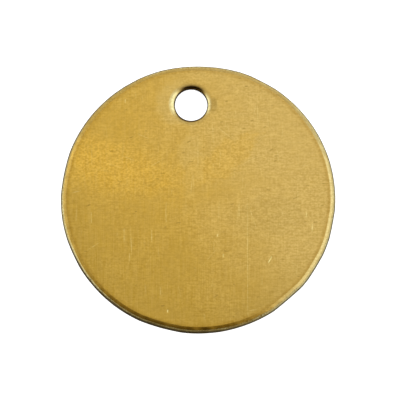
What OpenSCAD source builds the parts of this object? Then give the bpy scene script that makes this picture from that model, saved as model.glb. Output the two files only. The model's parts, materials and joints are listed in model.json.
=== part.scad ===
// A round brass token, stamped from sheet, with a hole near its rim to hang it by.
// The token lies flat: the back face is on z = 0 and the front face looks up. The origin is the
// centre of the back face, and the hole is on the +Y side. Millimetres.

/* [Disc] */
// Diameter of the disc, at its widest
disc_d = 38.1; // [25:0.1:60]
// Thickness of the sheet that the disc is stamped from
sheet_t = 1.02; // [0.95:0.01:1.6]

/* [Hole] */
// Diameter of the hole, at its narrowest
hole_d = 4.5; // [3:0.1:6]
// Distance from the rim to the hole's centre
hole_from_rim = 5.65; // [5.4:0.05:9]

/* [Rim edge] */
// Width of the bevel that tumbling wore round the front face
bevel_w = 0.42; // [0.2:0.01:0.6]
// Height of that bevel
bevel_h = 0.18; // [0.1:0.01:0.2]
// Width of the torn shoulder below the bevel
shoulder_w = 0.2; // [0.1:0.01:0.3]
// Height of the shoulder
shoulder_h = 0.18; // [0.1:0.01:0.2]
// How far the steep skirt below the shoulder flares out, to the full diameter
skirt_flare = 0.12; // [0.05:0.01:0.2]
// Height of the skirt
skirt_h = 0.29; // [0.1:0.01:0.3]
// Radius of the round between the upright wall and the back face
back_round = 0.15; // [0.05:0.01:0.2]

/* [Hole edge] */
// Width of the roll-over, where the punch drew the front face down into the hole
roll_w = 0.95; // [0.3:0.01:1.2]
// Depth of the roll-over
roll_h = 0.5; // [0.2:0.01:0.5]
// How far the torn wall below the upright one leans out
torn_lean = 0.06; // [0.02:0.01:0.1]
// Height of the torn wall
torn_h = 0.22; // [0.1:0.01:0.25]
// Size of the bevel round the hole on the back face
hole_bevel = 0.08; // [0.02:0.01:0.1]

/* [Hidden] */
brass = [0.79, 0.65, 0.3];
disc_r = disc_d / 2;
hole_r = hole_d / 2;
hole_y = disc_r - hole_from_rim;
round_steps = 4;
roll_steps = 14;
revolve_fn = 180;
punch_overrun = 1;

// The disc in half section, from its axis out to its rim: the round at the back, the upright wall,
// then the skirt, the shoulder and the bevel in to the front face.
function disc_section() = concat(
    [[0, 0]],
    [
        for (i = [0 : round_steps])
            let (a = 90 * i / round_steps)
            [disc_r - back_round * (1 - sin(a)), back_round * (1 - cos(a))]
    ],
    [
        [disc_r, sheet_t - bevel_h - shoulder_h - skirt_h],
        [disc_r - skirt_flare, sheet_t - bevel_h - shoulder_h],
        [disc_r - skirt_flare - shoulder_w, sheet_t - bevel_h],
        [disc_r - skirt_flare - shoulder_w - bevel_w, sheet_t],
        [0, sheet_t]
    ]
);

// What the punch takes out, in half section: the bevel at the back, the torn wall, the upright
// wall, then the roll-over out to the front face. It runs past both faces.
function slug_section() = concat(
    [
        [0, -punch_overrun],
        [hole_r + torn_lean + hole_bevel, -punch_overrun],
        [hole_r + torn_lean + hole_bevel, 0],
        [hole_r + torn_lean, hole_bevel],
        [hole_r, hole_bevel + torn_h]
    ],
    [
        for (i = [0 : roll_steps])
            let (a = 90 * i / roll_steps)
            [hole_r + roll_w * (1 - cos(a)), sheet_t - roll_h * (1 - sin(a))]
    ],
    [[hole_r + roll_w, sheet_t + punch_overrun], [0, sheet_t + punch_overrun]]
);

module blank() {
    rotate_extrude($fn = revolve_fn)
        polygon(disc_section());
}

module slug() {
    translate([0, hole_y, 0])
        rotate_extrude($fn = revolve_fn)
            polygon(slug_section());
}

module token_disc() {
    color(brass)
        difference() {
            blank();
            slug();
        }
}

token_disc();
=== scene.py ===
"""A round brass token with a hanging hole, lying on a white table under soft studio light."""
import json
import math
import random

import bpy
import numpy as np
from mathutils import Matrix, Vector, noise
from mathutils.geometry import delaunay_2d_cdt


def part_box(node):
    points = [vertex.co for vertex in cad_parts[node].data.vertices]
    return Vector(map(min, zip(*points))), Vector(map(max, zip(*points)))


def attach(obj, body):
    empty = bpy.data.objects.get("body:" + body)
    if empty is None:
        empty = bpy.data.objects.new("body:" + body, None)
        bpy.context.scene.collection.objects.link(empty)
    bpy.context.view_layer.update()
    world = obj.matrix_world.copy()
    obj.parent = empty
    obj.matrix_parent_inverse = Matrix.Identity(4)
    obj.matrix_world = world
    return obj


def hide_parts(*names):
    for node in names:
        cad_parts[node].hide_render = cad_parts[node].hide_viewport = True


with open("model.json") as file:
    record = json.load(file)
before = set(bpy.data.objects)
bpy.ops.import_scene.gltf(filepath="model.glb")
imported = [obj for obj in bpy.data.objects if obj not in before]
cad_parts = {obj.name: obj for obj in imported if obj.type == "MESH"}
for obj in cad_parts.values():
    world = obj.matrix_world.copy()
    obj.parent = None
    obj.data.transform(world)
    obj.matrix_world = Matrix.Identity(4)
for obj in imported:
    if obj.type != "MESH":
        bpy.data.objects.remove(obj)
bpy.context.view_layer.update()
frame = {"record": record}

MM = 0.001

# The disc and its hole, from the frame
NODE = "token_disc"
DISC_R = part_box(NODE)[1].x
SHEET_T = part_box(NODE)[1].z
HOLE = next(mount for mount in frame["record"]["mounts"] if mount["name"] == "hanging_hole")
HOLE_Y = HOLE["pos_m"][1]
HOLE_R = HOLE["dims"]["r_mm"] * MM

# The disc's edge in section, the same as the CAD part's: bevel, shoulder, skirt, wall and rounded back
RIM_BEVEL_W = 0.42 * MM
RIM_BEVEL_H = 0.18 * MM
RIM_SHOULDER_W = 0.20 * MM
RIM_SHOULDER_H = 0.18 * MM
RIM_SKIRT_W = 0.12 * MM
RIM_SKIRT_H = 0.29 * MM
RIM_BACK_ROUND = 0.15 * MM
RIM_EDGE_W = RIM_BEVEL_W + RIM_SHOULDER_W + RIM_SKIRT_W
RIM_EDGE_H = RIM_BEVEL_H + RIM_SHOULDER_H + RIM_SKIRT_H

# The hole's edge in section, the same as the CAD part's: roll-over, smooth wall, torn wall, back bevel
HOLE_ROLL_W = 0.95 * MM
HOLE_ROLL_H = 0.50 * MM
HOLE_TORN_W = 0.06 * MM
HOLE_TORN_H = 0.22 * MM
HOLE_BACK_BEVEL = 0.08 * MM

# How finely the mesh is cut
RIM_STEPS = 800
HOLE_STEPS = 240
CORNER_STEPS = 4
ROLL_STEPS = 14
TORN_STEPS = 6
FRONT_CELL = 0.3 * MM
BACK_CELL = 0.42 * MM
SCRATCH_STEP = 0.16 * MM
SCRATCH_ROWS = 9

# How far the stamping strays from a perfect shape, and how long or how many its waves are
OUTLINE_WOBBLE = 0.03 * MM
OUTLINE_WAVES_PER_RADIUS = 6.0
CORNER_ROUND = 0.05 * MM
TEAR_WANDER = 0.05 * MM
TEAR_WANDER_WAVES_PER_MM = 0.9
TEAR_GRAIN = 0.03 * MM
TEAR_GRAIN_SIZE = 0.15 * MM
FACE_WAVE = 0.012 * MM
FACE_WAVE_LENGTH = 7 * MM

# How far the face's edge sits off the disc's centre, so that the bevel is widest at the lower left
FACE_SHIFT = np.array((0.05, 0.03)) * MM

# Where the outline is a little flat: direction from +X towards +Y, half its width, and its depth in mm
FLATS = [(85, 17, 0.10), (165, 9, 0.09), (200, 6, 0.04), (250, 9, 0.08), (307, 8, 0.12), (325, 6, 0.06),
         (345, 6, 0.06), (57, 6, 0.05)]

# The sheet's rolling lines run this far off the Y axis, towards +X
GRAIN_HEADING = 4.0

# Which way the worn metal looks where it is brightest, where it also carries painted highlights
RIM_BRIGHT_SIDE = (0.98, -0.17)
HOLE_BRIGHT_LEFT = (-0.98, 0.20)
HOLE_BRIGHT_RIGHT = (1.0, -0.05)

# Over how far the worn metal and its painted highlight round the hole fade out
HOLE_POLISH_FADE = 0.45 * MM


# ---------------------------------------------------------------- scratches

class Scratch:
    """A straight groove in a face, deepest at its middle, with a low burr along each side."""

    BURR = 0.25

    def __init__(self, x, y, length, heading, width, depth, shine):
        """Sizes are in millimetres, and heading is in degrees from +Y towards +X. A fresh scratch has a
        shine of up to 1, and a dark one down to -1."""
        turn = math.radians(heading)
        self.centre = np.array((x, y)) * MM
        self.along = np.array((math.sin(turn), math.cos(turn)))
        self.across = np.array((math.cos(turn), -math.sin(turn)))
        self.half_length = length * MM / 2
        self.half_width = width * MM / 2
        self.depth = depth * MM
        self.shine = shine

    def spread(self, plan):
        """How far each point is along the scratch and beside it, in metres from its middle."""
        offset = plan - self.centre
        return np.abs(offset @ self.along), np.abs(offset @ self.across)

    def cut(self, plan):
        """How deep the scratch is at each point, from 1 on its floor to below 0 on its burrs."""
        beyond, beside = self.spread(plan)
        s = np.clip(beyond / self.half_length, 0, 1)
        t = np.clip(beside / self.half_width, 0, 2)
        groove = np.clip(1 - t * t, 0, 1) ** 1.5
        burr = np.where(t > 1, np.sin(np.pi * (t - 1)) ** 2, 0)
        return np.sqrt(1 - s * s) * (groove - self.BURR * burr)

    def rows(self):
        """Rows of points along the groove, close enough together to shape it."""
        steps = max(4, round(2 * self.half_length / SCRATCH_STEP))
        s, t = np.meshgrid(np.linspace(-1, 1, steps + 1), np.linspace(-2, 2, SCRATCH_ROWS))
        s, t = s.reshape(-1, 1), t.reshape(-1, 1)
        return self.centre + s * self.half_length * self.along + t * self.half_width * self.across


def chosen_scratches():
    """The marks that stand out on the front face: x, y, length, heading, width, depth and shine."""
    return [
        Scratch(6.2, -9.2, 18.6, 4.0, 0.16, 0.003, 0.28),
        Scratch(-14.95, -1.75, 1.7, 3.0, 0.16, 0.005, 0.45),
        Scratch(-10.6, -4.55, 2.1, 4.0, 0.18, 0.004, 0.40),
        Scratch(-6.8, -4.9, 2.0, 4.5, 0.16, 0.004, 0.38),
        Scratch(-10.05, -7.7, 1.4, 3.0, 0.14, 0.004, 0.32),
        Scratch(2.3, -5.5, 0.45, 20.0, 0.24, 0.010, 0.6),
        Scratch(2.9, -8.45, 0.50, 0.0, 0.24, 0.010, 0.9),
        Scratch(2.65, -8.55, 0.50, 0.0, 0.20, 0.004, -0.3),
        Scratch(9.3, -9.45, 1.2, 33.0, 0.24, 0.016, 1.0),
        Scratch(9.0, -9.20, 0.7, 33.0, 0.14, 0.004, -0.35),
        Scratch(-5.35, -15.7, 0.5, 6.0, 0.24, 0.010, 0.9),
        Scratch(14.8, -3.4, 0.9, 10.0, 0.20, 0.006, 0.6),
        Scratch(15.45, -5.35, 1.3, 6.0, 0.18, 0.006, 0.55),
        Scratch(-9.1, 14.55, 0.7, 10.0, 0.18, 0.006, 0.5),
        Scratch(-6.15, -12.9, 1.5, 4.0, 0.14, 0.004, 0.3),
        Scratch(5.55, -2.15, 1.9, 4.0, 0.12, 0.004, 0.4),
        Scratch(0.45, 6.5, 6.0, 4.0, 0.14, 0.002, 0.15),
        Scratch(-16.7, 2.1, 1.3, 80.0, 0.16, 0.006, 0.3),
        Scratch(6.4, -16.4, 1.2, 88.0, 0.16, 0.006, 0.4),
        Scratch(8.25, 10.45, 0.6, 82.0, 0.28, 0.004, -0.8),
        Scratch(4.05, 10.55, 0.6, 80.0, 0.26, 0.004, -0.7),
        Scratch(-1.55, 6.6, 0.6, 84.0, 0.26, 0.004, -0.7),
        Scratch(-5.95, -14.9, 0.7, 82.0, 0.28, 0.004, -0.9),
        Scratch(-15.8, 8.8, 0.6, 80.0, 0.28, 0.004, -0.8),
    ]


# Marks are strewn over the flat of a face, out to this far from its centre, in millimetres
STREWN_REACH = (DISC_R - RIM_EDGE_W) / MM
HAIRLINE_WIDTH = 0.10
HAIRLINE_SHINE_PER_MM = 110
PIT_WIDTH = 0.22
PIT_DEPTH = 0.002


def hairlines(seed, count):
    """Fine scratches strewn over a face, most of them close to the rolling lines."""
    draw = random.Random(seed)
    lines = []
    while len(lines) < count:
        x, y = draw.uniform(-STREWN_REACH, STREWN_REACH), draw.uniform(-STREWN_REACH, STREWN_REACH)
        length = draw.uniform(0.6, 4.0)
        along_grain = draw.random() < 0.75
        heading = draw.gauss(GRAIN_HEADING, 5.0) if along_grain else draw.uniform(0.0, 180.0)
        depth = draw.uniform(0.001, 0.003)
        if math.hypot(x, y) + length / 2 < STREWN_REACH:
            shine = depth * HAIRLINE_SHINE_PER_MM
            lines.append(Scratch(x, y, length, heading, HAIRLINE_WIDTH, depth, shine))
    return lines


def pits(seed, count):
    """Short dark pits strewn over a face, most of them across the rolling lines."""
    draw = random.Random(seed)
    marks = []
    while len(marks) < count:
        x, y = draw.uniform(-STREWN_REACH, STREWN_REACH), draw.uniform(-STREWN_REACH, STREWN_REACH)
        length = draw.uniform(0.3, 0.8)
        heading = draw.gauss(GRAIN_HEADING + 80, 12.0)
        darkness = draw.uniform(0.3, 0.9)
        if math.hypot(x, y) + length / 2 < STREWN_REACH:
            marks.append(Scratch(x, y, length, heading, PIT_WIDTH, PIT_DEPTH, -darkness))
    return marks


# ---------------------------------------------------------------- the sections of the two stamped edges

def bend(before, corner, after, steps):
    """A corner of a section rounded off with a curve from one point beside it to another."""
    for i in range(steps + 1):
        f = i / steps
        near, middle, far = (1 - f) ** 2, 2 * f * (1 - f), f * f
        yield tuple(near * a + middle * b + far * c for a, b, c in zip(before, corner, after))


def small_bend(before, corner, after):
    """A corner of a section that tumbling has worn a little round."""
    before, corner, after = Vector(before), Vector(corner), Vector(after)
    start = corner + (before - corner).normalized() * CORNER_ROUND
    end = corner + (after - corner).normalized() * CORNER_ROUND
    return bend(start, corner, end, CORNER_STEPS)


def slope(start, end, steps):
    """Points between start and end, without either."""
    for i in range(1, steps):
        yield tuple(a + (b - a) * i / steps for a, b in zip(start, end))


def roll(width, height, steps):
    """The front corner of a section rolled over in a quarter of an ellipse, from the face to the wall."""
    for i in range(steps + 1):
        turn = math.pi / 2 * i / steps
        yield width * (1 - math.sin(turn)), SHEET_T - height * (1 - math.cos(turn))


def rim_section():
    """The disc's edge as (inset, height) points, from the front face round to the back face."""
    face = (RIM_EDGE_W + 2 * CORNER_ROUND, SHEET_T)
    crease = (RIM_EDGE_W, SHEET_T)
    shoulder = (RIM_SHOULDER_W + RIM_SKIRT_W, SHEET_T - RIM_BEVEL_H)
    skirt = (RIM_SKIRT_W, SHEET_T - RIM_BEVEL_H - RIM_SHOULDER_H)
    wall = (0, SHEET_T - RIM_EDGE_H)
    wall_foot = (0, RIM_BACK_ROUND)
    yield from small_bend(face, crease, shoulder)
    yield from small_bend(crease, shoulder, skirt)
    yield from small_bend(shoulder, skirt, wall)
    yield from slope(skirt, wall, TORN_STEPS)
    yield from small_bend(skirt, wall, wall_foot)
    yield from bend(wall_foot, (0, 0), (RIM_BACK_ROUND, 0), ROLL_STEPS // 2)


def hole_section():
    """The hole's edge as (inset, height) points, from the front face round to the back face."""
    tear_top = (0, HOLE_BACK_BEVEL + HOLE_TORN_H)
    tear_foot = (HOLE_TORN_W, HOLE_BACK_BEVEL)
    back = (HOLE_TORN_W + HOLE_BACK_BEVEL, 0)
    yield from roll(HOLE_ROLL_W, HOLE_ROLL_H, ROLL_STEPS)
    yield tear_top
    yield from slope(tear_top, tear_foot, TORN_STEPS)
    yield from bend(tear_foot, (HOLE_TORN_W, 0), back, CORNER_STEPS)


# ---------------------------------------------------------------- the two stamped edges

def smooth(value, low, high):
    """0 below low, 1 above high and smoothly between."""
    t = np.clip((value - low) / (high - low), 0, 1)
    return t * t * (3 - 2 * t)


def outline(angles):
    """How far the disc's outline is set in from a true circle at each angle, by its wobble and its flats."""
    round_trip = np.stack((np.cos(angles), np.sin(angles)), axis=1) * OUTLINE_WAVES_PER_RADIUS
    wobble = np.array([noise.noise(Vector((x, y, 2.0))) for x, y in round_trip])
    depth = OUTLINE_WOBBLE * (0.5 + 0.5 * wobble)
    for centre, half_width, deepest in FLATS:
        away = (np.degrees(angles) - centre + 180) % 360 - 180
        depth += deepest * MM * np.clip(1 - (away / half_width) ** 2, 0, 1)
    return depth


def rim_wear_and_highlight(outward):
    """How worn the rim's bevel is in each direction from the centre: most on the right, where it also
    carries a painted highlight.
    """
    return 0.09 * smooth(outward[:, 1], -0.5, 0.2) + 0.42 * smooth(outward @ RIM_BRIGHT_SIDE, 0.5, 1.0)


def rim_reach(outward):
    """How far in from the wall the rim's worn metal reaches: to the crease."""
    return np.full(len(outward), RIM_EDGE_W)


def hole_wear_and_highlight(outward):
    """How worn the hole's edge is in each direction: most on its left and its right, where it also carries
    painted highlights.
    """
    left = smooth(outward @ HOLE_BRIGHT_LEFT, 0.65, 1.0)
    right = smooth(outward @ HOLE_BRIGHT_RIGHT, 0.7, 1.0)
    return 0.1 + 0.9 * (left + right)


def hole_reach(outward):
    """How far out from the wall the hole's worn metal and painted highlight reach: furthest on the left."""
    return (0.60 + 0.35 * smooth(outward @ HOLE_BRIGHT_LEFT, 0.0, 1.0)) * MM


def face_share(height):
    """How much a height shares in what moves the front face: 1 on the face, 0 below the rim's bevel."""
    return np.clip(1 - (SHEET_T - height) / RIM_BEVEL_H, 0, 1)


class Circle:
    """One of the disc's two stamped edges, with the metal inside it (side 1) or outside it (side -1)."""

    def __init__(self, centre_y, radius, side, section, steps, wear_and_highlight, reach, fade, tear, wall_top):
        """The wear and reach functions give how worn the metal is, where it also carries painted highlights,
        and how far from the wall, and fade is how softly that ends. tear is the height of the torn part's
        foot and top, and the wall has its own material below wall_top."""
        self.centre = np.array((0, centre_y))
        self.radius = radius
        self.side = side
        self.section = list(section)
        self.steps = steps
        self.fade = fade
        self.tear_foot, self.tear_top = tear
        self.wall_top = wall_top
        self.angles = np.linspace(0, 2 * math.pi, steps, endpoint=False)
        self.outward = np.stack((np.cos(self.angles), np.sin(self.angles)), axis=1)
        self.wear_and_highlight = wear_and_highlight(self.outward)
        self.reach = reach(self.outward)

    def waver(self):
        """Smooth noise from -1 to 1 that closes on itself round the circle."""
        waves = self.radius / MM * TEAR_WANDER_WAVES_PER_MM
        return np.array([noise.noise(Vector((x * waves, y * waves, 3.0))) for x, y in self.outward])

    def polish(self, inset):
        """How smooth the metal is worn round the ring at this inset, from 0 to 1."""
        return np.clip((self.reach - inset) / self.fade, 0, 1)

    def ring(self, inset, height):
        """One ring of the stamped edge, with the waver of the tear and the grain of the torn metal."""
        depth = np.full(self.steps, float(inset))
        z = np.full(self.steps, float(height))
        torn = (height - self.tear_foot) / (self.tear_top - self.tear_foot)
        if 0 < torn < 1:
            grain = [noise.noise(Vector((x * self.radius, y * self.radius, height)) / TEAR_GRAIN_SIZE)
                     for x, y in self.outward]
            depth += TEAR_GRAIN * 4 * torn * (1 - torn) * np.abs(grain)
        if -0.2 < torn < 1.2:
            z += TEAR_WANDER * self.waver()
        if self.side > 0:
            depth += outline(self.angles) - face_share(height) * (self.outward @ FACE_SHIFT)
        plan = self.centre + self.outward * (self.radius - self.side * depth)[:, None]
        z -= wave(plan) * face_share(height)
        return np.column_stack((plan, z))


def wave(plan):
    """How far a face is sunk by its faint unevenness, in metres, at each point of a plan."""
    swell = np.array([noise.noise(Vector((x, y, 0)) / FACE_WAVE_LENGTH) for x, y in plan])
    return FACE_WAVE * (1 + swell) / 2


RIM = Circle(centre_y=0, radius=DISC_R, side=1, section=rim_section(), steps=RIM_STEPS,
             wear_and_highlight=rim_wear_and_highlight, reach=rim_reach, fade=CORNER_ROUND,
             tear=(SHEET_T - RIM_EDGE_H, SHEET_T - RIM_BEVEL_H), wall_top=SHEET_T - RIM_BEVEL_H)
PIERCING = Circle(centre_y=HOLE_Y, radius=HOLE_R, side=-1, section=hole_section(), steps=HOLE_STEPS,
                  wear_and_highlight=hole_wear_and_highlight, reach=hole_reach, fade=HOLE_POLISH_FADE,
                  tear=(HOLE_BACK_BEVEL, HOLE_BACK_BEVEL + HOLE_TORN_H), wall_top=SHEET_T - HOLE_ROLL_H)


# ---------------------------------------------------------------- the disc's mesh

def filling(cell, inset_rim, inset_hole, scratches):
    """Points that fill a face between its two edges, on a triangular grid and along each scratch."""
    row_h = cell * math.sqrt(3) / 2
    reach = math.ceil(DISC_R / row_h)
    column, row = np.meshgrid(np.arange(-reach, reach + 1), np.arange(-reach, reach + 1))
    grid = np.stack(((column + row % 2 / 2) * cell, row * row_h), axis=-1).reshape(-1, 2)
    margin = cell / 3
    for scratch in scratches:
        beyond, beside = scratch.spread(grid)
        near = (beyond < scratch.half_length + margin) & (beside < 2 * scratch.half_width + margin)
        grid = grid[~near]
    plan = np.concatenate([grid] + [scratch.rows() for scratch in scratches])
    gap = cell * 0.4
    set_in = outline(np.arctan2(plan[:, 1], plan[:, 0]))
    inside = np.linalg.norm(plan, axis=1) < RIM.radius - inset_rim - set_in - gap
    outside = np.linalg.norm(plan - PIERCING.centre, axis=1) > PIERCING.radius + inset_hole + gap
    return plan[inside & outside]


def triangulate(rim_plan, hole_plan, fill):
    """Triangles, anticlockwise, over a face's rim ring, its hole ring and its filling."""
    plan = np.concatenate((rim_plan, hole_plan, fill))
    tolerance = 1e-6
    found = delaunay_2d_cdt([Vector(p) / MM for p in plan], [], [], 0, tolerance)
    sources, triangles = found[3], found[2]
    hole = range(len(rim_plan), len(rim_plan) + len(hole_plan))
    made = []
    for triangle in triangles:
        corners = [sources[i][0] for i in triangle]
        if not all(i in hole for i in corners):
            made.append(corners)
    return made


class Shell:
    """The token's points and faces as they are made, with the masks that its materials read."""

    def __init__(self):
        self.points = []
        self.faces = []
        self.on_wall = []
        self.masks = {"bare": [], "burnished": [], "scratched": []}

    def add(self, points, **masks):
        """Add points, with any masks that aren't 0 there, and give their numbers back."""
        first = len(self.points)
        self.points.extend(map(tuple, points))
        for name, values in self.masks.items():
            values.extend(np.broadcast_to(masks.get(name, 0), len(points)))
        return list(range(first, len(self.points)))

    def add_edge(self, circle):
        """Add a stamped edge ring by ring, and give its front and back rings back."""
        rings = []
        for inset, height in circle.section:
            polish = circle.polish(inset)
            ring = circle.ring(inset, height)
            # Worn metal, placed also where painted highlights fall
            rings.append(self.add(ring, bare=circle.wear_and_highlight * polish, burnished=polish))
        for upper, lower, (_, height) in zip(rings, rings[1:], circle.section[1:]):
            for i in range(circle.steps):
                j = (i + 1) % circle.steps
                quad = (upper[i], lower[i], lower[j], upper[j])
                self.faces.append(quad if circle.side > 0 else quad[::-1])
                self.on_wall.append(height < circle.wall_top)
        return rings[0], rings[-1]

    def add_face(self, rim_ring, hole_ring, scratches, front):
        """Add the front or the back face between its two rings, with its scratches."""
        end = 0 if front else -1
        cell = FRONT_CELL if front else BACK_CELL
        fill = filling(cell, RIM.section[end][0], PIERCING.section[end][0], scratches)
        cuts = [(scratch, scratch.cut(fill)) for scratch in scratches]
        dip = sum(scratch.depth * cut for scratch, cut in cuts)
        shine = np.clip(sum(scratch.shine * np.clip(cut, 0, 1) for scratch, cut in cuts), -1, 1)
        z = np.minimum(SHEET_T - wave(fill) - dip, SHEET_T) if front else np.maximum(dip, 0)
        inner = self.add(np.column_stack((fill, z)), burnished=np.maximum(shine, 0), scratched=shine)
        numbers = rim_ring + hole_ring + inner
        rim_plan = np.array([self.points[i][:2] for i in rim_ring])
        hole_plan = np.array([self.points[i][:2] for i in hole_ring])
        for triangle in triangulate(rim_plan, hole_plan, fill):
            corners = tuple(numbers[i] for i in triangle)
            self.faces.append(corners if front else corners[::-1])
            self.on_wall.append(False)

    def mesh(self, name):
        """The finished mesh, with its masks and a map of its plan for the rolling lines' direction."""
        mesh = bpy.data.meshes.new(name)
        mesh.from_pydata(self.points, [], self.faces)
        mesh.polygons.foreach_set("use_smooth", [True] * len(self.faces))
        mesh.polygons.foreach_set("material_index", [int(wall) for wall in self.on_wall])
        for mask_name, values in self.masks.items():
            mesh.attributes.new(mask_name, "FLOAT", "POINT").data.foreach_set("value", values)
        plan_map = mesh.uv_layers.new(name="plan")
        corners = np.empty(len(mesh.loops), dtype=int)
        mesh.loops.foreach_get("vertex_index", corners)
        flat = np.array(self.points)[corners, :2] / (2 * DISC_R) + 0.5
        plan_map.data.foreach_set("uv", flat.ravel())
        mesh.validate()
        return mesh


def disc_mesh():
    """The whole disc as one closed mesh."""
    shell = Shell()
    rim_front, rim_back = shell.add_edge(RIM)
    hole_front, hole_back = shell.add_edge(PIERCING)
    front_marks = chosen_scratches() + hairlines(seed=5, count=90) + pits(seed=3, count=70)
    shell.add_face(rim_front, hole_front, front_marks, front=True)
    shell.add_face(rim_back, hole_back, hairlines(seed=11, count=40), front=False)
    return shell.mesh("token")


# ---------------------------------------------------------------- shader nodes

def node(tree, kind, inputs=None, **settings):
    """A new shader node. Each input is a value, or the output socket that feeds it."""
    made = tree.nodes.new(kind)
    for name, value in settings.items():
        setattr(made, name, value)
    for name, value in (inputs or {}).items():
        feed(tree, made.inputs[name], value)
    return made


def feed(tree, socket, value):
    """Link an output socket to an input, or set the input to a plain value."""
    if isinstance(value, bpy.types.NodeSocket):
        tree.links.new(value, socket)
    else:
        socket.default_value = value


def maths(tree, operation, *values):
    """A Math node of one to three values."""
    made = node(tree, "ShaderNodeMath", operation=operation)
    for socket, value in zip(made.inputs, values):
        feed(tree, socket, value)
    return made.outputs["Value"]


def vector_maths(tree, operation, *values):
    """The outputs of a Vector Math node of one or two values."""
    return node(tree, "ShaderNodeVectorMath", dict(enumerate(values)), operation=operation).outputs


def times(tree, first, second):
    """Two values multiplied."""
    return maths(tree, "MULTIPLY", first, second)


def remap(tree, value, low, high, to_low, to_high, how="SMOOTHSTEP"):
    """value taken smoothly from low..high to to_low..to_high, and held at the ends."""
    made = node(tree, "ShaderNodeMapRange",
                {"Value": value, "From Min": low, "From Max": high, "To Min": to_low, "To Max": to_high},
                interpolation_type=how)
    return made.outputs["Result"]


def blend(tree, amount, first, second, how="MIX"):
    """Two colours mixed by amount."""
    made = node(tree, "ShaderNodeMix", data_type="RGBA", blend_type=how)
    for socket, value in zip((made.inputs[0], made.inputs[6], made.inputs[7]), (amount, first, second)):
        feed(tree, socket, value)
    return made.outputs[2]


def bump(tree, height, distance, under=None):
    """A bump of the given height, in metres, over another one."""
    inputs = {"Height": height, "Distance": distance, "Strength": 1.0}
    if under is not None:
        inputs["Normal"] = under
    return node(tree, "ShaderNodeBump", inputs).outputs["Normal"]


def pattern(tree, point, per_mm, detail, roughness):
    """Noise from 0 to 1 with its own number of waves per millimetre along X, Y and Z."""
    scaled = node(tree, "ShaderNodeMapping", {"Vector": point, "Scale": per_mm}).outputs["Vector"]
    made = node(tree, "ShaderNodeTexNoise",
                {"Vector": scaled, "Scale": 1.0, "Detail": detail, "Roughness": roughness})
    return made.outputs["Fac"]


def mask(tree, name):
    """One of the mesh's masks."""
    return node(tree, "ShaderNodeAttribute", attribute_name=name).outputs["Fac"]


def axes(tree, point):
    """A point's X, Y and Z."""
    parts = node(tree, "ShaderNodeSeparateXYZ", {"Vector": point}).outputs
    return parts["X"], parts["Y"], parts["Z"]


def towards(tree, point, along_x, along_y):
    """How far a point lies in a direction in plan, which is given by its share of X and of Y."""
    x, y, _ = axes(tree, point)
    return maths(tree, "MULTIPLY_ADD", y, along_y, times(tree, x, along_x))


def flat_distance(tree, point):
    """A point's distance from the origin in plan."""
    flat = vector_maths(tree, "MULTIPLY", point, (1, 1, 0))["Vector"]
    return vector_maths(tree, "LENGTH", flat)["Value"]


# ---------------------------------------------------------------- places on the token

# A stain fades out this far below the front face, in millimetres, so that none shows on the back
STAIN_DEPTH = 0.9

# Waves per millimetre of the noise that makes a stain's border cloudy
STAIN_CLOUD = (0.45, 0.7, 0.5)


def stain(tree, point, x, y, half_length, half_width, heading=0.0, ragged=0.5, solid=0.6):
    """An oval patch on the front face, placed and sized in millimetres. It is 1 out to solid, a share of
    its size, and fades from there to a cloudy border that wanders by ragged, also a share of its size."""
    own = node(tree, "ShaderNodeMapping",
               {"Vector": point, "Location": (x, y, SHEET_T / MM), "Rotation": (0, 0, math.radians(heading)),
                "Scale": (half_length, half_width, STAIN_DEPTH)}, vector_type="TEXTURE").outputs["Vector"]
    away = vector_maths(tree, "LENGTH", own)["Value"]
    cloud = pattern(tree, point, STAIN_CLOUD, 4.0, 0.6)
    away = maths(tree, "ADD", away, maths(tree, "MULTIPLY_ADD", cloud, ragged * 2, -ragged))
    return remap(tree, away, solid, 1.05, 1.0, 0.0)


def on_front(tree, point):
    """1 on the front part of the sheet and 0 near its back."""
    _, _, height = axes(tree, point)
    return maths(tree, "GREATER_THAN", height, SHEET_T / MM / 4)


def past_crease(tree, point):
    """How far out a point is from the crease between the front face and the bevel, in millimetres."""
    return maths(tree, "SUBTRACT", flat_distance(tree, point), (DISC_R - RIM_EDGE_W) / MM)


def from_hole(tree, point):
    """How far the surface is beside, above and away from the hole's centre, in millimetres."""
    turn = math.radians(GRAIN_HEADING)
    centre = (-HOLE_Y / MM * math.sin(turn), HOLE_Y / MM * math.cos(turn), 0)
    offset = vector_maths(tree, "SUBTRACT", point, centre)["Vector"]
    beside, above, _ = axes(tree, offset)
    return beside, above, flat_distance(tree, offset)


def at_hole(tree, away):
    """1 on the hole's edge and 0 beyond its roll-over."""
    return maths(tree, "LESS_THAN", away, (HOLE_R + HOLE_ROLL_W) / MM)


# ---------------------------------------------------------------- materials

# The face: its tarnish, the tarnish's hazy places and painted sheen, its amber places, and the colour that
# shade multiplies it by
TARNISHED = (0.64, 0.394, 0.060, 1)
HAZE_AND_SHEEN = (0.69, 0.470, 0.131, 1)
AMBER = (0.74, 0.445, 0.060, 1)
SHADED = (0.80, 0.80, 0.75, 1)

# Worn metal, which also carries painted highlights, new scratches and pits
CLEAN_AND_HIGHLIGHT = (0.93, 0.83, 0.41, 1)
FRESH = (1.0, 0.86, 0.34, 1)
PITTED = (0.30, 0.18, 0.03, 1)

# Dull metal, grime, and painted shade in the rim's crease, along the rim's bottom and in the hole
DULLED_AND_SHADE = (0.40, 0.26, 0.06, 1)
RIM_SHADE = (0.38, 0.20, 0.012, 1)
SKIRT = (0.44, 0.35, 0.16, 1)
SOOT_AND_SHADE = (0.06, 0.025, 0.006, 1)

# What the sheet's fine skin multiplies the face by
DARK_SCALE = (0.855, 0.825, 0.72, 1)
LIGHT_SCALE = (1.135, 1.165, 1.29, 1)


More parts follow.
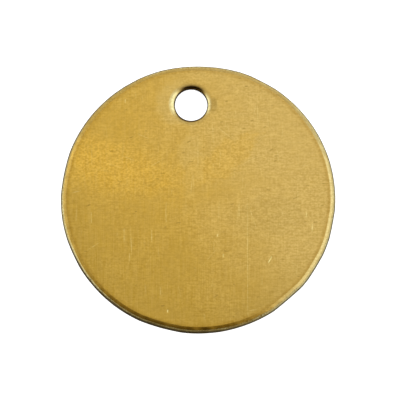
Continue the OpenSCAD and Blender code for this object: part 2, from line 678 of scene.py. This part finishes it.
def new_material(name):
    """An empty brass material: its tree, its shader, and the surface point in millimetres with its Y
    turned along the rolling lines."""
    material = bpy.data.materials.new(name)
    material.use_nodes = True
    tree = material.node_tree
    shader = tree.nodes["Principled BSDF"]
    shader.inputs["Metallic"].default_value = 1.0
    place = node(tree, "ShaderNodeTexCoord").outputs["Object"]
    turn = (0, 0, math.radians(GRAIN_HEADING))
    per_mm = (1 / MM, 1 / MM, 1 / MM)
    in_mm = node(tree, "ShaderNodeMapping", {"Vector": place, "Rotation": turn, "Scale": per_mm})
    return material, tree, shader, in_mm.outputs["Vector"]


def amber_patch(tree, point):
    """Where the tarnish has turned amber: a patch on the left, with a paler tail and branch."""
    patch = stain(tree, point, x=-13.0, y=4.7, half_length=15.0, half_width=5.2, heading=-15.0,
                  ragged=0.55, solid=0.15)
    tail = stain(tree, point, x=-1.0, y=3.2, half_length=6.0, half_width=2.4, heading=12.0, ragged=0.8)
    branch = stain(tree, point, x=4.0, y=5.6, half_length=6.0, half_width=2.4, heading=42.0, ragged=0.8)
    return maths(tree, "MAXIMUM", patch, times(tree, maths(tree, "MAXIMUM", tail, branch), 0.4))


def shading(tree, point, amber, drift):
    """How shaded the face is: more towards the lower left, along the rim and in a dim patch on the right."""
    x, y, _ = axes(tree, point)
    upward = maths(tree, "ADD", towards(tree, point, 0.35, 1.0), drift)
    low = remap(tree, upward, -20, 6, 0.88, 0.0)
    border = remap(tree, past_crease(tree, point), -3.5, -0.3, 0.0, 0.4)
    border = times(tree, border, remap(tree, y, 2, 15, 1.0, 0.0))
    border = times(tree, border, maths(tree, "MULTIPLY_ADD", amber, -0.9, 1.0))
    border = times(tree, border, remap(tree, x, 6, 16, 1.0, 0.4))
    dim = times(tree, stain(tree, point, x=10.0, y=-2.6, half_length=6.5, half_width=3.2), 0.3)
    return maths(tree, "ADD", maths(tree, "ADD", low, border), dim)


def tarnish(tree, point, cloud, amber, lines):
    """The face's thin tarnish: paler to the right, partly haze and partly a painted sheen, amber and shaded
    in places, and a little paler beside the hole.
    """
    drift = maths(tree, "MULTIPLY_ADD", cloud, 16.0, -8.0)
    # Paler towards the right: partly hazier tarnish, partly a painted sheen from the right light
    across = maths(tree, "ADD", towards(tree, point, 1.0, 0.4), drift)
    colour = blend(tree, remap(tree, across, -8, 16, 0.0, 1.0), TARNISHED, HAZE_AND_SHEEN)
    colour = blend(tree, amber, colour, AMBER)
    colour = blend(tree, shading(tree, point, amber, drift), colour, SHADED, how="MULTIPLY")
    veil = stain(tree, point, x=-0.9, y=5.2, half_length=1.9, half_width=5.6, ragged=0.7)
    colour = blend(tree, times(tree, veil, 0.07), colour, CLEAN_AND_HIGHLIGHT)
    # A little paler left of the hole, beside its highlight
    paler_by_hole = stain(tree, point, x=-2.6, y=13.4, half_length=3.6, half_width=3.8)
    colour = blend(tree, times(tree, paler_by_hole, 0.12), colour, CLEAN_AND_HIGHLIGHT)
    return blend(tree, remap(tree, lines, 0.3, 0.7, 0.0, 0.22), colour, HAZE_AND_SHEEN)


def rim_painted_shade(tree, point):
    """Where painted shade darkens the rim: a thin line along the crease, and the whole bevel at the bottom.
    """
    gap = past_crease(tree, point)
    line = remap(tree, maths(tree, "ABSOLUTE", maths(tree, "ADD", gap, 0.15)), 0.0, 0.45, 0.3, 0.0)
    bottom = remap(tree, towards(tree, point, 0.2, 1.0), -18, -10, 0.9, 0.0)
    bevel = times(tree, remap(tree, gap, -0.2, 0.1, 0.0, 1.0), bottom)
    return times(tree, maths(tree, "MAXIMUM", line, bevel), on_front(tree, point))


def hole_grime_and_shade(tree, point):
    """Where grime and painted shade darken the hole's edge: all round its lip, and a crescent at its top."""
    beside, above, away = from_hole(tree, point)
    _, _, height = axes(tree, point)
    sunk = remap(tree, height, (SHEET_T - HOLE_ROLL_H) / MM, SHEET_T / MM, 1.0, 0.0, "LINEAR")
    at_top = remap(tree, above, HOLE_R / MM * 0.68, HOLE_R / MM * 1.10, 0.0, 1.0)
    crescent = times(tree, remap(tree, sunk, 0.01, 0.30, 0.0, 0.97), at_top)
    clear = remap(tree, maths(tree, "ABSOLUTE", beside), 1.5, 2.5, -0.08, 0.14)
    clear = maths(tree, "MULTIPLY_ADD", beside, 0.016, clear)
    clear = maths(tree, "ADD", clear, remap(tree, above, 0.3, 2.0, 0.0, 0.16))
    lip = remap(tree, maths(tree, "SUBTRACT", sunk, clear), 0.25, 0.50, 0.0, 0.93)
    near = times(tree, at_hole(tree, away), on_front(tree, point))
    return times(tree, maths(tree, "MAXIMUM", crescent, lip), near)


def sheet_skin(tree, point, lines, amber):
    """The sheet's fine skin, of lines, cross dashes and grain, with more of the grain in the amber."""
    dashes = pattern(tree, point, (0.6, 4.2, 2.0), 3.0, 0.6)
    grain = pattern(tree, point, (2.8, 3.8, 2.8), 2.0, 0.6)
    skin = maths(tree, "MULTIPLY_ADD", dashes, 0.36, times(tree, lines, 0.17))
    skin = maths(tree, "MULTIPLY_ADD", grain, 0.47, skin)
    return maths(tree, "MULTIPLY_ADD", times(tree, amber, 0.6), maths(tree, "SUBTRACT", grain, skin), skin)


def with_marks(tree, colour, mottle):
    """The colour with the worn metal and its painted highlights, the new scratches and the pits that the
    mesh's masks mark.
    """
    colour = blend(tree, mask(tree, "bare"), colour, CLEAN_AND_HIGHLIGHT)
    scratched = mask(tree, "scratched")
    fresh = times(tree, scratched, remap(tree, mottle, 0.35, 0.6, 0.4, 1.0))
    colour = blend(tree, maths(tree, "MAXIMUM", fresh, 0.0), colour, FRESH)
    pitted = times(tree, scratched, -0.8)
    return blend(tree, maths(tree, "MAXIMUM", pitted, 0.0), colour, PITTED)


def rolled_finish(tree, shader, mottle, skin, lines):
    """The face's roughness, less where it is burnished, its fine relief and its sheen along the lines."""
    rough = remap(tree, mottle, 0.3, 0.7, 0.34, 0.40)
    rough = maths(tree, "SUBTRACT", rough, times(tree, mask(tree, "burnished"), 0.14))
    tree.links.new(rough, shader.inputs["Roughness"])
    relief = bump(tree, skin, 0.006 * MM)
    relief = bump(tree, lines, 0.002 * MM, under=relief)
    tree.links.new(relief, shader.inputs["Normal"])
    shader.inputs["Anisotropic"].default_value = 0.4
    tangent = node(tree, "ShaderNodeTangent", direction_type="UV_MAP", uv_map="plan")
    tree.links.new(tangent.outputs["Tangent"], shader.inputs["Tangent"])


def face_brass():
    """Rolled sheet with a thin tarnish, worn bright on its bevel, round the hole and in its scratches, with
    painted highlights on the worn bevel and round the hole and painted shade in places.
    """
    material, tree, shader, point = new_material("brass face")
    lines = pattern(tree, point, (6.0, 0.25, 3.0), 3.0, 0.6)
    mottle = pattern(tree, point, (1.0, 1.3, 1.0), 3.0, 0.6)
    cloud = pattern(tree, point, (0.10, 0.14, 0.12), 3.0, 0.55)
    amber = amber_patch(tree, point)
    skin = sheet_skin(tree, point, lines, amber)

    colour = tarnish(tree, point, cloud, amber, lines)
    # Painted shade along the rim's crease and over its bevel at the bottom
    colour = blend(tree, rim_painted_shade(tree, point), colour, RIM_SHADE)
    # A painted dark reflection right of the hole, where its roll-over faces the gap between the lights
    painted_dark_reflection = stain(tree, point, x=2.15, y=13.3, half_length=0.6, half_width=1.3, ragged=0.35)
    colour = blend(tree, times(tree, painted_dark_reflection, 0.5), colour, DULLED_AND_SHADE)
    colour = blend(tree, remap(tree, mottle, 0.35, 0.65, 0.0, 0.10), colour, DULLED_AND_SHADE)
    colour = with_marks(tree, colour, mottle)
    scales = blend(tree, remap(tree, skin, 0.35, 0.65, 0.0, 1.0), DARK_SCALE, LIGHT_SCALE)
    scaly = maths(tree, "MULTIPLY_ADD", amber, 0.22, remap(tree, cloud, 0.3, 0.6, 0.5, 1.0))
    colour = blend(tree, scaly, colour, scales, how="MULTIPLY")
    # Grime and painted shade round the hole's edge
    colour = blend(tree, hole_grime_and_shade(tree, point), colour, SOOT_AND_SHADE)
    tree.links.new(colour, shader.inputs["Base Color"])
    rolled_finish(tree, shader, mottle, skin, lines)
    return material


def torn_metal(tree, point, torn, level):
    """The colour of the disc's torn shoulder, and of the skirt below it up to a wandering step, with painted
    highlights on its sides and painted shade at its upper and lower left.
    """
    patchy = pattern(tree, point, (0.8, 0.8, 0.8), 3.0, 0.6)
    x, _, _ = axes(tree, point)
    upper_left = remap(tree, towards(tree, point, -0.82, 0.57), 14.5, 18.0, 0.0, 0.5)
    lower_left = remap(tree, towards(tree, point, -0.5, -0.87), 12, 17, 0.0, 1.0)
    sideways = maths(tree, "ABSOLUTE", maths(tree, "ADD", x, 4.0))

    broken = blend(tree, remap(tree, torn, 0.35, 0.65, 0.0, 1.0), DULLED_AND_SHADE, CLEAN_AND_HIGHLIGHT)
    broken = blend(tree, remap(tree, patchy, 0.4, 0.6, 0.0, 0.5), broken, TARNISHED)
    # The shoulder: painted shade at the upper left, and painted highlights on the left and right sides and
    # at the lower left
    broken = blend(tree, upper_left, broken, DULLED_AND_SHADE)
    broken = blend(tree, remap(tree, sideways, 10, 18, 0.0, 0.25), broken, CLEAN_AND_HIGHLIGHT)
    broken = blend(tree, times(tree, lower_left, 0.5), broken, CLEAN_AND_HIGHLIGHT)
    # The skirt: painted highlights on the left and right sides, and painted shade at the upper left and
    # lower left
    skirt = blend(tree, remap(tree, sideways, 10, 18, 0.0, 0.8), SKIRT, CLEAN_AND_HIGHLIGHT)
    skirt = blend(tree, upper_left, skirt, SOOT_AND_SHADE)
    skirt = blend(tree, times(tree, lower_left, 0.5), skirt, SOOT_AND_SHADE)
    skirt_top = (RIM.tear_top - RIM_SHOULDER_H) / MM
    step = maths(tree, "MULTIPLY_ADD", patchy, 0.2, skirt_top - 0.1)
    step = maths(tree, "MULTIPLY_ADD", lower_left, 0.08, step)
    return blend(tree, maths(tree, "LESS_THAN", level, step), broken, skirt)


def edge_brass():
    """The wall of the disc, torn metal over smooth, drag-marked metal, and the wall of the hole, dark with
    grime and painted shade.
    """
    material, tree, shader, point = new_material("brass edge")
    drag = pattern(tree, point, (14.0, 14.0, 0.4), 2.0, 0.5)
    torn = pattern(tree, point, (5.0, 5.0, 5.0), 4.0, 0.6)
    _, _, height = axes(tree, point)
    level = maths(tree, "ADD", height, maths(tree, "MULTIPLY_ADD", torn, 0.10, -0.05))
    tear = remap(tree, level, RIM.tear_foot / MM - 0.02, RIM.tear_foot / MM + 0.02, 0.0, 1.0)

    smooth_metal = blend(tree, drag, TARNISHED, HAZE_AND_SHEEN)
    colour = blend(tree, tear, smooth_metal, torn_metal(tree, point, torn, level))
    _, _, away = from_hole(tree, point)
    # The hole's wall is darkened with grime and painted shade
    colour = blend(tree, at_hole(tree, away), colour, SOOT_AND_SHADE)
    tree.links.new(colour, shader.inputs["Base Color"])

    tree.links.new(remap(tree, tear, 0.0, 1.0, 0.26, 0.32), shader.inputs["Roughness"])
    relief = bump(tree, drag, 0.006 * MM)
    relief = bump(tree, times(tree, torn, tear), 0.02 * MM, under=relief)
    tree.links.new(relief, shader.inputs["Normal"])
    return material


# ---------------------------------------------------------------- the token

token = bpy.data.objects.new(NODE + "_brass", disc_mesh())
bpy.context.scene.collection.objects.link(token)
token.data.materials.append(face_brass())
token.data.materials.append(edge_brass())
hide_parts(NODE)
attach(token, "root")


# ---------------------------------------------------------------- table, light and camera

TABLE_SIZE = 6.0
TABLE_GAP = 0.01 * MM
TABLE_WHITE = (0.9, 0.9, 0.9, 1)
TABLE_GLOW = 0.9

# The room: what the camera sees beyond the table, then what the brass mirrors above, beside and below it
BACKDROP = (1.3, 1.3, 1.3, 1)
SKY_FRONT = (0.06, 0.04, 0.0, 1)
SKY_BACK = (0.75, 0.75, 0.75, 1)
GROUND_FRONT = (0.46, 0.42, 0.34, 1)
GROUND_BACK = (0.90, 0.90, 0.90, 1)
GROUND_UNDER = (0.03, 0.03, 0.03, 1)


def white_table():
    """A plain white light table. The brass doesn't mirror it, so that its edges stay dark against it."""
    bpy.ops.mesh.primitive_plane_add(size=TABLE_SIZE, location=(0, 0, -TABLE_GAP))
    table = bpy.context.object
    table.name = "table"
    material = bpy.data.materials.new("white acrylic")
    material.use_nodes = True
    shader = material.node_tree.nodes["Principled BSDF"]
    shader.inputs["Base Color"].default_value = TABLE_WHITE
    shader.inputs["Roughness"].default_value = 0.9
    shader.inputs["Specular IOR Level"].default_value = 0.2
    shader.inputs["Emission Color"].default_value = (1, 1, 1, 1)
    shader.inputs["Emission Strength"].default_value = TABLE_GLOW
    table.data.materials.append(material)
    table.visible_glossy = False


def softbox(name, azimuth, elevation, distance, width, height, radiance):
    """A rectangular light aimed at the token. Azimuth 0 is on +Y, the far side, and 90 is on +X."""
    az, el = math.radians(azimuth), math.radians(elevation)
    direction = Vector((math.sin(az) * math.cos(el), math.cos(az) * math.cos(el), math.sin(el)))
    lamp = bpy.data.lights.new(name, "AREA")
    lamp.shape = "RECTANGLE"
    lamp.size, lamp.size_y = width, height
    lamp.energy = radiance * math.pi * width * height
    box = bpy.data.objects.new(name, lamp)
    box.location = direction * distance
    box.rotation_euler = direction.to_track_quat("Z", "Y").to_euler()
    box.visible_camera = False
    bpy.context.scene.collection.objects.link(box)


def room():
    """A studio that is white behind the table, dim on the camera's side and dark under the table."""
    world = bpy.data.worlds.new("room")
    bpy.context.scene.world = world
    world.use_nodes = True
    tree = world.node_tree
    direction = node(tree, "ShaderNodeTexCoord").outputs["Generated"]
    _, _, up = axes(tree, direction)
    away = towards(tree, direction, 0.26, 0.97)
    above = blend(tree, remap(tree, away, -0.58, -0.25, 0.0, 1.0), SKY_FRONT, SKY_BACK)
    ground = blend(tree, remap(tree, away, -0.95, -0.45, 0.0, 1.0), GROUND_FRONT, GROUND_BACK)
    below = blend(tree, remap(tree, up, -0.6, -0.1, 0.0, 1.0), GROUND_UNDER, ground)
    sky = blend(tree, remap(tree, up, 0.1, 0.45, 0.0, 1.0), below, above)
    seen = node(tree, "ShaderNodeLightPath").outputs["Is Camera Ray"]
    tree.links.new(blend(tree, seen, sky, BACKDROP), tree.nodes["Background"].inputs["Color"])


def camera(azimuth, elevation, distance, field, aim):
    """The camera looks at aim, and its square picture takes in field metres there."""
    az, el = math.radians(azimuth), math.radians(elevation)
    back = Vector((math.sin(az) * math.cos(el), -math.cos(az) * math.cos(el), math.sin(el)))
    lens = bpy.data.cameras.new("camera")
    lens.lens = distance / field * lens.sensor_width
    lens.clip_start, lens.clip_end = 0.01, 20.0
    view = bpy.data.objects.new("camera", lens)
    view.location = aim + back * distance
    view.rotation_euler = (-back).to_track_quat("-Z", "Y").to_euler()
    bpy.context.scene.collection.objects.link(view)
    bpy.context.scene.camera = view


white_table()
room()
softbox("overhead", azimuth=0, elevation=72, distance=0.8, width=0.36, height=0.22, radiance=0.52)
softbox("left", azimuth=-82, elevation=33, distance=0.6, width=0.70, height=0.30, radiance=0.53)
softbox("right", azimuth=101, elevation=50, distance=0.6, width=0.90, height=0.40, radiance=0.42)
camera(azimuth=-4.13, elevation=77.0, distance=1.0, field=55.45 * MM, aim=Vector((0.25, -0.20, 0.5)) * MM)
bpy.context.scene.view_settings.view_transform = "Standard"
